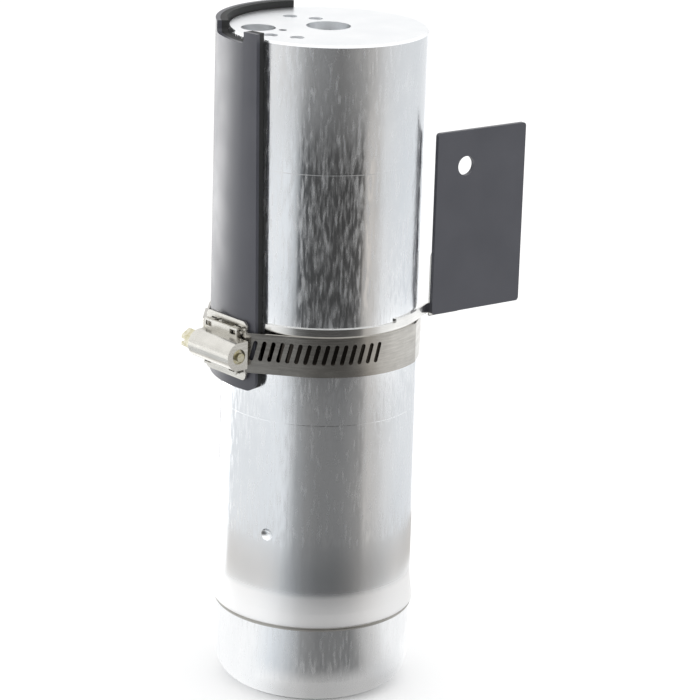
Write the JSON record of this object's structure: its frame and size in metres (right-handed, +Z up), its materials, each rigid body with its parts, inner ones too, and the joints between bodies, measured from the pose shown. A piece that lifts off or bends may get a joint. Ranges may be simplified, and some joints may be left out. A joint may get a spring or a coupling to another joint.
{
  "type": "filter drier",
  "caption": "Upright aluminium receiver drier with a ported head and a welded bottom cap, held by a worm-drive clamp in a rubber-lined saddle, with a strap-mounted flange at its side.",
  "frame": {"origin": "on the vessel's axis at its bottom face", "axes": "+Z up the vessel's axis to the ported head, +X from the vessel towards the mounting flange, whose plate lies in an XZ plane"},
  "size_m": [0.1203, 0.0764, 0.2423],
  "materials": {
    "vessel_aluminium": "drawn and clear-washed aluminium, softly reflective",
    "weld_aluminium": "as-welded bead",
    "tube_aluminium": "drawn tube",
    "seal_rubber": "moulded seal",
    "screen_steel": "fine stainless screen",
    "cap_plastic": "moulded natural nylon",
    "plate_steel": "pressed steel",
    "filter_felt": "pressed fibre felt",
    "desiccant_beads": "packed molecular-sieve beads",
    "spring_steel": "drawn spring wire",
    "bracket_paint": "gloss black coat",
    "liner_rubber": "extruded rubber sheet",
    "strap_steel": "bright cold-rolled strip",
    "clamp_stainless": "bright rolled stainless steel",
    "screw_steel": "plated screw"
  },
  "bodies": {
    "drier": {"vessel_body": "vessel_aluminium", "bottom_cap": "vessel_aluminium", "girth_weld": "weld_aluminium", "pickup_tube": "tube_aluminium", "tube_o_ring": "seal_rubber", "strainer_screen": "screen_steel", "strainer_cap": "cap_plastic", "lower_perforated_plate": "plate_steel", "lower_filter_pad": "filter_felt", "desiccant_bed": "desiccant_beads", "upper_filter_pad": "filter_felt", "upper_perforated_plate": "plate_steel", "compression_spring": "spring_steel", "inlet_deflector": "plate_steel", "saddle_shell": "bracket_paint", "saddle_liner": "liner_rubber", "flange_strap": "strap_steel", "mounting_flange": "bracket_paint", "clamp_band": "clamp_stainless", "clamp_base": "clamp_stainless", "clamp_housing": "clamp_stainless"},
    "worm_screw": {"clamp_screw": "screw_steel"}
  },
  "joints": [
    {"name": "worm_screw_turn", "type": "hinge", "parent": "drier", "child": "worm_screw", "pos_m": [-0.04542, -0.00437, 0.131], "axis": [0.0958, -0.9954, 0], "continuous": true}
  ]
}
